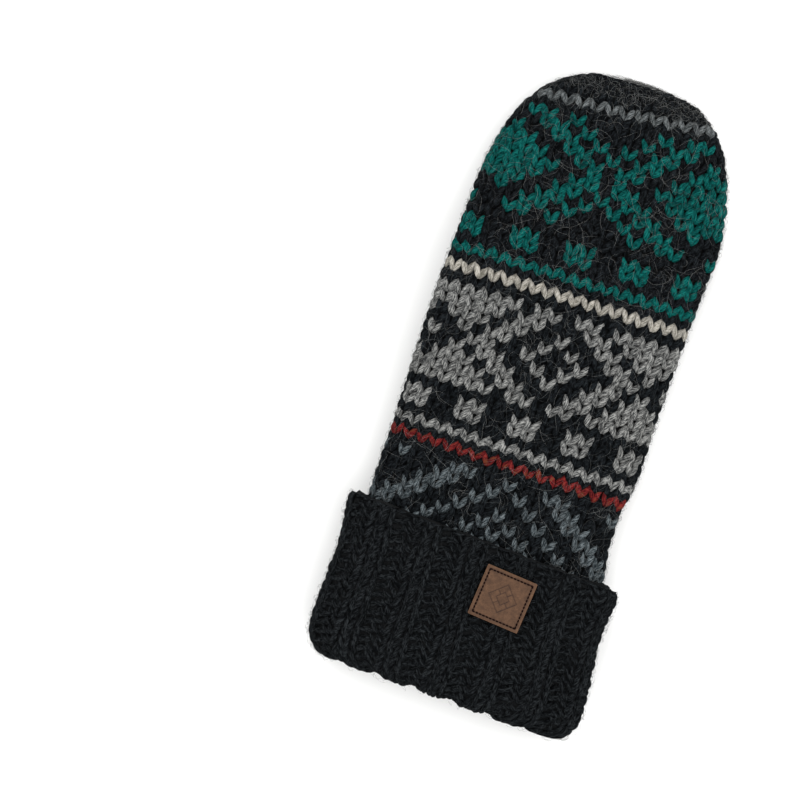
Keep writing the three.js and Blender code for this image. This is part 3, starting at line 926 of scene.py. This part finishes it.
class Nodes:
    """Short ways to add and link a material's nodes."""

    def __init__(self, name, roughness, specular=0.5):
        self.material = bpy.data.materials.new(name)
        self.material.use_nodes = True
        self.tree = self.material.node_tree
        self.shader = self.tree.nodes["Principled BSDF"]
        self.shader.inputs["Roughness"].default_value = roughness
        self.shader.inputs["Specular IOR Level"].default_value = specular

    def add(self, kind, **settings):
        node = self.tree.nodes.new(kind)
        for key, value in settings.items():
            if key in node.inputs:
                node.inputs[key].default_value = value
            else:
                setattr(node, key, value)
        return node

    def link(self, source, target):
        self.tree.links.new(source, target)

    def fill(self, sockets, values):
        """Gives each socket its number or colour, or links it to the socket that is given."""
        for socket, value in zip(sockets, values):
            if isinstance(value, bpy.types.NodeSocket):
                self.link(value, socket)
            else:
                socket.default_value = value

    def place(self):
        return self.add("ShaderNodeTexCoord").outputs["Object"]

    def marks(self):
        """The three values that each point of a piece carries."""
        attribute = self.add("ShaderNodeAttribute", attribute_name="yarn")
        parts = self.add("ShaderNodeSeparateXYZ")
        self.link(attribute.outputs["Vector"], parts.inputs[0])
        return parts.outputs

    def colour(self, source):
        self.link(source, self.shader.inputs["Base Color"])

    def maths(self, operation, *values):
        node = self.add("ShaderNodeMath", operation=operation)
        self.fill(node.inputs, values)
        return node.outputs[0]

    def vector(self, *values):
        node = self.add("ShaderNodeCombineXYZ")
        self.fill(node.inputs, values)
        return node.outputs[0]

    def noise(self, vector, scale, detail=2.0, roughness=0.5):
        node = self.add("ShaderNodeTexNoise", Scale=scale, Detail=detail, Roughness=roughness)
        self.link(vector, node.inputs["Vector"])
        return node.outputs["Fac"]

    def ramp(self, value, stops):
        node = self.add("ShaderNodeValToRGB")
        ramp = node.color_ramp
        while len(ramp.elements) < len(stops):
            ramp.elements.new(0.5)
        for element, (place, colour) in zip(ramp.elements, stops):
            element.position = place
            element.color = linear(colour)
        self.link(value, node.inputs["Fac"])
        return node.outputs["Color"]

    def mix_colour(self, factor, first, second, blend="MIX"):
        node = self.add("ShaderNodeMix", data_type="RGBA", blend_type=blend)
        sockets = [s for s in node.inputs if s.type == "RGBA"]
        self.fill([node.inputs["Factor"], *sockets], (factor, first, second))
        return [s for s in node.outputs if s.type == "RGBA"][0]

    def bump(self, height, strength, distance):
        node = self.add("ShaderNodeBump", Strength=strength, Distance=distance)
        self.link(height, node.inputs["Height"])
        self.link(node.outputs["Normal"], self.shader.inputs["Normal"])


def linear(colour):
    """Linear, opaque colour from the 0 to 255 values that a picture shows."""
    channels = [(c / 255 / 12.92) if c <= 10 else ((c / 255 + 0.055) / 1.055) ** 2.4 for c in colour]
    return (*channels, 1.0)


def wool(name, dark, middle, light, fleck=None):
    """Wool yarn: two twisted plies with painted shade where they meet, streaks of lighter and darker fibre
    along them, and painted shade on the undersides.
    """
    nodes = Nodes(name, 0.95, 0.04)
    along, around, seed = nodes.marks()
    twisted = nodes.maths("ADD", around, nodes.maths("MULTIPLY", along, TWIST))
    seeded = nodes.maths("MULTIPLY", seed, 41.0)
    streaks = nodes.noise(
        nodes.vector(
            nodes.maths("MULTIPLY", along, STREAKS_ALONG), nodes.maths("MULTIPLY", twisted, STREAKS_ROUND),
            seeded),
        1.0, 3.0, 0.75)
    base = nodes.ramp(streaks, [(0.41, dark), (0.5, middle), (0.59, light)])
    if fleck:
        spots = nodes.noise(
            nodes.vector(nodes.maths("MULTIPLY", along, 0.4), nodes.maths("MULTIPLY", twisted, 5.0), seeded),
            1.0, 1.0)
        chosen = nodes.add("ShaderNodeMapRange", **{"From Min": 0.56, "From Max": 0.66})
        nodes.link(spots, chosen.inputs["Value"])
        base = nodes.mix_colour(chosen.outputs["Result"], base, linear(fleck))
    plies = nodes.maths("ABSOLUTE", nodes.maths("SINE", nodes.maths("MULTIPLY", twisted, 2 * math.pi)))
    # Painted shade in the grooves between the plies: the colour darkens to 0.7 where they meet
    groove = nodes.maths("MULTIPLY_ADD", nodes.maths("POWER", plies, 0.6), 0.3, 0.7)
    # Painted shade: each strand darkens from its top down to its sides and underside, where shade falls
    from_top = nodes.maths("ABSOLUTE", nodes.maths("SUBTRACT", around, 0.5))
    side = nodes.add("ShaderNodeMapRange", interpolation_type="SMOOTHSTEP", **SIDE_PAINTED_SHADE)
    nodes.link(from_top, side.inputs["Value"])
    tone = nodes.maths("MULTIPLY", groove, nodes.maths("MULTIPLY_ADD", seed, TONE_RANGE, TONE_LOW))
    tone = nodes.maths("MULTIPLY", tone, side.outputs["Result"])
    # Each stitch's random tone times the painted shade of the ply grooves and of the strand's sides
    shade = nodes.vector(tone, tone, tone)
    nodes.colour(nodes.mix_colour(1.0, base, shade, "MULTIPLY"))
    relief = nodes.maths("ADD", plies, nodes.maths("MULTIPLY", streaks, 1.4))
    nodes.bump(relief, 0.8, 0.28 * MM)
    return nodes.material


def ground_wool(name, dark, light):
    """The fabric's body between and behind the stitches."""
    nodes = Nodes(name, 0.95, 0.2)
    place = nodes.place()
    patches = nodes.noise(place, 900.0, 3.0, 0.6)
    nodes.colour(nodes.ramp(patches, [(0.35, dark), (0.7, light)]))
    nodes.bump(nodes.noise(place, 1600.0, 2.0), 0.6, 0.3 * MM)
    return nodes.material


def hair_wool(name, dark, light):
    """Loose fibres, each of its own tone."""
    nodes = Nodes(name, 0.9, 0.05)
    nodes.colour(nodes.ramp(nodes.marks()[2], [(0.1, dark), (0.9, light)]))
    return nodes.material


def leather():
    """Brown leather: fine grain, uneven tone, darker where it is pressed in, paler at its cut edge."""
    nodes = Nodes("brown_leather", 0.6, 0.2)
    place = nodes.place()
    cloudy = nodes.noise(place, 420.0, 7.0, 0.85)
    base = nodes.ramp(cloudy, [(0.36, (60, 41, 28)), (0.52, (79, 55, 38)), (0.68, (97, 70, 50))])
    pressed, rim, _ = nodes.marks()
    base = nodes.mix_colour(pressed, base, linear((26, 13, 9)))
    nodes.colour(nodes.mix_colour(rim, base, linear((108, 79, 58))))
    grain = nodes.add("ShaderNodeTexVoronoi", feature="DISTANCE_TO_EDGE", Scale=2600.0)
    nodes.link(place, grain.inputs["Vector"])
    rough = nodes.maths("ADD", grain.outputs["Distance"], nodes.noise(place, 2200.0, 2.0))
    nodes.bump(rough, 0.35, 0.12 * MM)
    return nodes.material


def thread_material():
    """Dark sewing thread, twisted."""
    nodes = Nodes("dark_thread", 0.95, 0.05)
    place = nodes.place()
    tone = nodes.noise(place, 2400.0, 2.0)
    nodes.colour(nodes.ramp(tone, [(0.35, (9, 4, 4)), (0.7, (24, 11, 9))]))
    nodes.bump(tone, 0.4, 0.1 * MM)
    return nodes.material


def patch_frame():
    """The patch's middle, its directions along and across, and the height that it lies at."""
    x, y = PATCH_PLACE
    centre = np.array([x, float(lean(x, y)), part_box("patch")[0].z / MM])
    angle = math.radians(PATCH_TURN) - math.atan(LEAN_SLOPE)
    right = np.array([math.cos(angle), math.sin(angle), 0.0])
    up = np.array([-math.sin(angle), math.cos(angle), 0.0])
    return centre, right, up


def patch_relief(u, v):
    """Height of the patch's face below its highest, and how strongly it is pressed and its edge shows."""
    half = PATCH_SIDE / 2
    to_edge = half - np.maximum(np.abs(u), np.abs(v))
    seam = np.exp(-((to_edge - SEAM_INSET) / SEAM_GROOVE) ** 2)
    lozenge = np.abs(u) + np.abs(v)
    sides = sum(np.exp(-((lozenge - size) / LOZENGE_LINE) ** 2) for size in (LOZENGE_INNER, LOZENGE_OUTER))
    cross = np.exp(-((np.abs(u) - np.abs(v)) / 0.2) ** 2)
    cross *= (lozenge > LOZENGE_INNER) & (lozenge < LOZENGE_OUTER)
    pressed = np.clip(sides + cross, 0, 1)
    rim = np.clip(1 - to_edge / 0.35, 0, 1) ** 2
    height = -0.22 * seam - 0.16 * pressed - 0.3 * rim - 0.3 * (u * u + v * v) / (half * half) / 2
    return height, 0.8 * pressed + 0.65 * seam, rim


def make_patch(material, thread):
    """Leather patch with a running stitch in its groove, lying on the crests of the ribs."""
    centre, right, up = patch_frame()
    half = PATCH_SIDE / 2
    line = np.linspace(-half, half, PATCH_CELLS + 1)
    u, v = np.meshgrid(line, line, indexing="ij")
    straight = half - PATCH_CORNER
    over = np.maximum(np.abs(u) - straight, 0) + 1j * np.maximum(np.abs(v) - straight, 0)
    pull = np.minimum(1.0, PATCH_CORNER / np.maximum(np.abs(over), 1e-9))
    u = np.where(np.abs(u) > straight, np.sign(u) * (straight + over.real * pull), u)
    v = np.where(np.abs(v) > straight, np.sign(v) * (straight + over.imag * pull), v)
    height, pressed, rim = patch_relief(u, v)
    under = centre + u[..., None] * right + v[..., None] * up
    top = under.copy()
    top[..., 2] += PATCH_THICKNESS + height
    size = PATCH_CELLS + 1
    points = np.concatenate([top.reshape(-1, 3), under.reshape(-1, 3)])
    index = np.arange(size * size).reshape(size, size)
    a, b, c, d = index[:-1, :-1], index[1:, :-1], index[1:, 1:], index[:-1, 1:]
    quads = [np.stack([a, b, c, d], axis=-1).reshape(-1, 4)]
    low = size * size
    quads.append(np.stack([d, c, b, a], axis=-1).reshape(-1, 4) + low)
    loop = np.concatenate([index[:-1, 0], index[-1, :-1], index[:0:-1, -1], index[0, :0:-1]])
    after = np.roll(loop, -1)
    quads.append(np.stack([loop, loop + low, after + low, after], axis=-1))
    marks = np.stack([pressed, rim, np.zeros_like(rim)], axis=-1).reshape(-1, 3)
    marks = np.concatenate([marks, np.repeat([[0.0, 1.0, 0.0]], size * size, axis=0)])
    make_piece("patch_leather", points, np.concatenate(quads), material, ("patch",), marks)

    reach = half - SEAM_INSET
    step = 2 * (reach + PAST_CORNER) / SEAM_STITCHES
    strands = Strands()

    def stitch_curve(t):
        return mix(-0.4 * step, 0.4 * step, t), 0.0, 0.16 * math.sin(math.pi * t) - 0.12

    template = strand_template(stitch_curve, 0.3, 0.24, 6, 8)
    flat = Cloth(
        [-half, half], [-half, half],
        np.array([[centre + x * right + y * up + [0, 0, PATCH_THICKNESS - 0.2] for x in (-half, half)]
                  for y in (-half, half)]))
    places = step * (np.arange(SEAM_STITCHES) - (SEAM_STITCHES - 1) / 2)
    for side in (-reach, reach):
        beside = np.full(SEAM_STITCHES, side)
        strands.add(flat, template, places, beside)
        strands.add(flat, template, beside, places, turn=math.pi / 2)
    strands.piece("patch_thread", thread, "leather")


def add_camera():
    camera = add_object("camera", bpy.data.cameras.new("camera"))
    camera.location = [length * MM for length in (*VIEW_CENTRE, VIEW_HEIGHT)]
    camera.rotation_euler = (0.0, 0.0, math.radians(VIEW_TURN))
    camera.data.sensor_width = 36.0
    camera.data.lens = 36.0 * (VIEW_HEIGHT - VIEW_LEVEL) / VIEW_WIDTH
    camera.data.clip_start = 0.01
    bpy.context.scene.camera = camera


def add_floor():
    """A plain pale floor."""
    nodes = Nodes("pale_floor", 0.9, 0.1)
    place = nodes.place()
    tone = nodes.noise(place, 3.0, 1.0)
    nodes.colour(nodes.ramp(tone, [(0.0, (250, 250, 249)), (1.0, (253, 253, 252))]))
    reach = 3.0
    mesh = bpy.data.meshes.new("floor")
    corners = [(-reach, -reach), (reach, -reach), (reach, reach), (-reach, reach)]
    mesh.from_pydata([(x, y, -0.0002) for x, y in corners], [], [(0, 1, 2, 3)])
    mesh.materials.append(nodes.material)
    floor = add_object("floor", mesh)


def add_light(name, place, size, power):
    """A soft square light aimed at the mitten's middle."""
    data = bpy.data.lights.new(name, "AREA")
    data.shape = "SQUARE"
    data.size = size
    data.energy = power
    light = add_object(name, data)
    light.location = place
    x, y, z = place
    light.rotation_euler = (math.atan2(math.hypot(x, y), z), 0.0, math.atan2(x, -y))


def add_world(strength):
    world = bpy.data.worlds.new("studio")
    bpy.context.scene.world = world
    world.use_nodes = True
    background = world.node_tree.nodes["Background"]
    background.inputs["Color"].default_value = (1.0, 1.0, 1.0, 1.0)
    background.inputs["Strength"].default_value = strength
    bpy.context.scene.view_settings.view_transform = "Standard"


def build():
    yarns = {name: wool(name + "_yarn", *tones) for name, tones in YARN_COLOURS.items()}
    ground = ground_wool("ground_wool", (4, 5, 5), (11, 12, 13))
    cuff_ground = ground_wool("cuff_ground_wool", (5, 6, 7), (14, 16, 18))
    light_hair = hair_wool("light_fibre", (66, 68, 69), (140, 141, 139))
    dark_hair = hair_wool("dark_fibre", (14, 16, 18), (62, 65, 67))
    cuff_hair = hair_wool("cuff_fibre", (10, 12, 14), (54, 57, 59))

    places = stations(HAND_START, HAND_END, TIP_LENGTH, STATION_STEP)
    back, back_edges = tube_cloth(hand_outline, places, centre_x, False, HAND_REACH)
    palm, palm_edges = tube_cloth(hand_outline, places, lambda y: 0.0, True, HAND_REACH)
    wool_strands = knit_back(back, back_edges)
    knit_tip_seam(back, back_edges, wool_strands["black"])
    for colour, strands in wool_strands.items():
        strands.piece("back_" + colour, yarns[colour], "patterned_wool")
    ground_from("hand_back", "back_ground", back, ground)

    plain = knit_plain(palm, palm_edges, HAND_START + 1, palm.rows[-1], 5, 5, wrap=wrap_at)
    plain.piece("palm_stitches", yarns["black"], "black_wool")
    ground_from("hand_palm", "palm_ground", palm, ground)

    thumb_places = stations(CROTCH - THUMB_ROOT, CROTCH + THUMB_LENGTH, THUMB_TIP_LENGTH, STATION_STEP)
    thumb, thumb_edges = tube_cloth(thumb_outline, thumb_places, lambda y: THUMB_LINE, True, THUMB_REACH)
    stitches = knit_plain(thumb, thumb_edges + THUMB_WRAP, CROTCH, thumb.rows[-1], 5, 6)
    stitches.piece("thumb_stitches", yarns["black"], "black_wool")
    ground_from("thumb", "thumb_ground", thumb, ground)

    cuff, path = cuff_cloth()
    outer, inner = knit_cuff(cuff, path)
    outer.piece("cuff_outside", yarns["cuff"], "ribbed_wool")
    inner.piece("cuff_inside", yarns["cuff"], "ribbed_wool")
    ground_from("cuff", "cuff_ground", cuff, cuff_ground, GROUND_UNDER_RIBS)

    make_patch(leather(), thread_material())

    hairs("back_fibres", back, light_hair, WHOLE_HAND)
    hairs("back_fuzz", back, dark_hair, WHOLE_HAND)
    hairs("tip_fuzz", back, light_hair, TIP_ONLY)
    hairs("palm_fuzz", palm, dark_hair, WHOLE_HAND)
    hairs("cuff_fibres", cuff, dark_hair, WHOLE_CUFF, FIBRE_UNIT)
    hairs("cuff_fuzz", cuff, cuff_hair, WHOLE_CUFF, FIBRE_UNIT)


add_camera()
build()
add_floor()
add_light("key", (-0.5, 0.75, 1.5), 1.3, 9.0)
add_light("fill", (0.8, -0.4, 1.4), 1.4, 9.0)
add_world(1.15)
